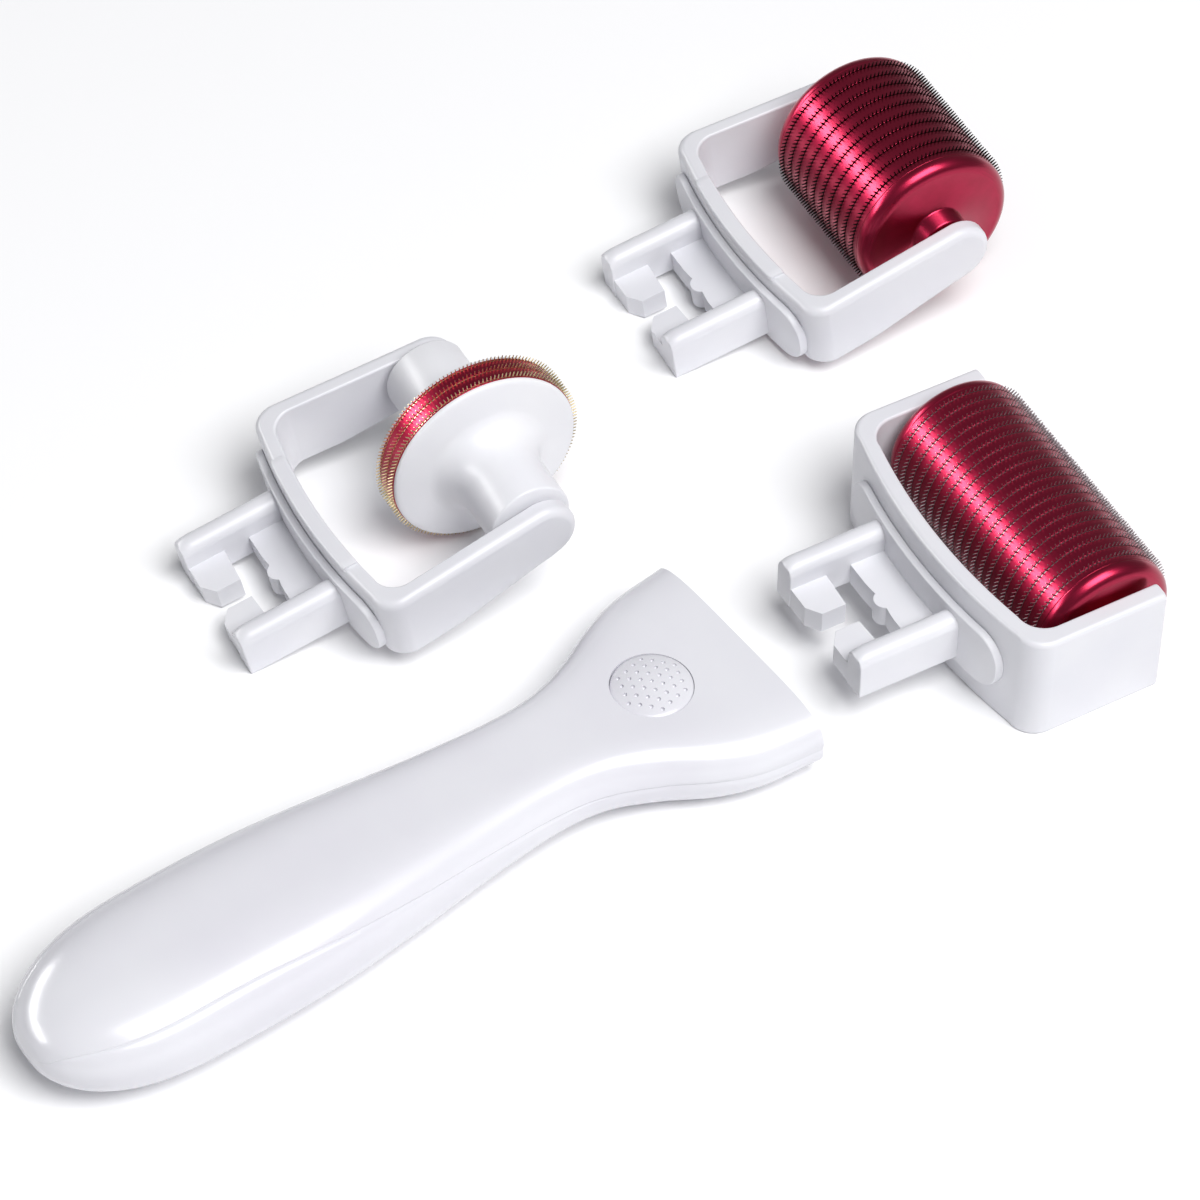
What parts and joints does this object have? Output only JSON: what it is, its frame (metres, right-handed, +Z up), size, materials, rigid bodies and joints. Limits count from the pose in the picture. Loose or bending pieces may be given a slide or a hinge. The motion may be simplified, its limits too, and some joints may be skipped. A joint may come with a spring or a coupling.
{
  "type": "derma roller kit",
  "caption": "Hand-held derma roller kit: a contoured handle with a snap-in socket and separate fork heads holding a narrow wheel, a middle and a wide needle roller.",
  "frame": {"origin": "middle of the whole kit's footprint, on the table that the four loose items lie on", "axes": "+X along the handle from butt to mouth, +Y across it, +Z up"},
  "size_m": [0.2278, 0.1312, 0.034],
  "materials": {
    "handle_white": "injection-moulded ABS, polished",
    "head_white": "injection-moulded ABS, satin polished",
    "hub_white": "injection-moulded ABS",
    "acetal": "moulded acetal",
    "crimson_metal": "crimson anodised",
    "needle_steel": "ground stainless steel",
    "axle_steel": "turned stainless steel",
    "spring_steel": "drawn spring wire"
  },
  "bodies": {
    "handle": {"lower_shell": "handle_white", "upper_shell": "handle_white", "socket_frame": "acetal"},
    "button": {"release_button": "handle_white", "button_spring": "spring_steel"},
    "disc_head": {"disc_head_tang": "head_white", "disc_head_flange": "head_white", "disc_head_rim_clip": "head_white", "disc_head_fork": "head_white", "disc_axle": "axle_steel"},
    "disc_roller": {"disc_side_left": "hub_white", "disc_side_right": "hub_white", "disc_band_rings": "crimson_metal", "disc_needle_rings": "needle_steel", "disc_bushes": "acetal"},
    "mid_head": {"mid_head_tang": "head_white", "mid_head_flange": "head_white", "mid_head_rim_clip": "head_white", "mid_head_fork": "head_white", "mid_axle": "axle_steel"},
    "mid_roller": {"mid_core": "acetal", "mid_drum_rings": "crimson_metal", "mid_needle_rings": "needle_steel", "mid_cap_left": "crimson_metal", "mid_cap_right": "crimson_metal", "mid_bushes": "acetal"},
    "wide_head": {"wide_head_tang": "head_white", "wide_head_flange": "head_white", "wide_head_fork": "head_white", "wide_axle": "axle_steel"},
    "wide_roller": {"wide_core": "acetal", "wide_drum_rings": "crimson_metal", "wide_needle_rings": "needle_steel", "wide_cap_left": "crimson_metal", "wide_cap_right": "crimson_metal", "wide_bushes": "acetal"}
  },
  "joints": [
    {"name": "button_press", "type": "slide", "parent": "handle", "child": "button", "axis": [0, 0, -1], "range_m": [0, 0.0012], "stiffness_N_per_m": 500, "deforming": ["button_spring"]},
    {"name": "disc_head_lift", "type": "slide", "parent": "handle", "child": "disc_head", "axis": [0, 0, 1], "range_m": [0, 0.06]},
    {"name": "disc_roller_spin", "type": "hinge", "parent": "disc_head", "child": "disc_roller", "pos_m": [0.00424, 0.02579, 0.017], "axis": [0.134, 0.991, 0], "continuous": true},
    {"name": "mid_head_lift", "type": "slide", "parent": "handle", "child": "mid_head", "axis": [0, 0, 1], "range_m": [0, 0.06]},
    {"name": "mid_roller_spin", "type": "hinge", "parent": "mid_head", "child": "mid_roller", "pos_m": [0.09749, 0.03799, 0.0149], "axis": [0.1426, 0.9898, 0], "continuous": true},
    {"name": "wide_head_lift", "type": "slide", "parent": "handle", "child": "wide_head", "axis": [0, 0, 1], "range_m": [0, 0.06]},
    {"name": "wide_roller_spin", "type": "hinge", "parent": "wide_head", "child": "wide_roller", "pos_m": [0.06599, -0.03685, 0.0136], "axis": [0.1236, 0.9923, 0], "continuous": true}
  ]
}
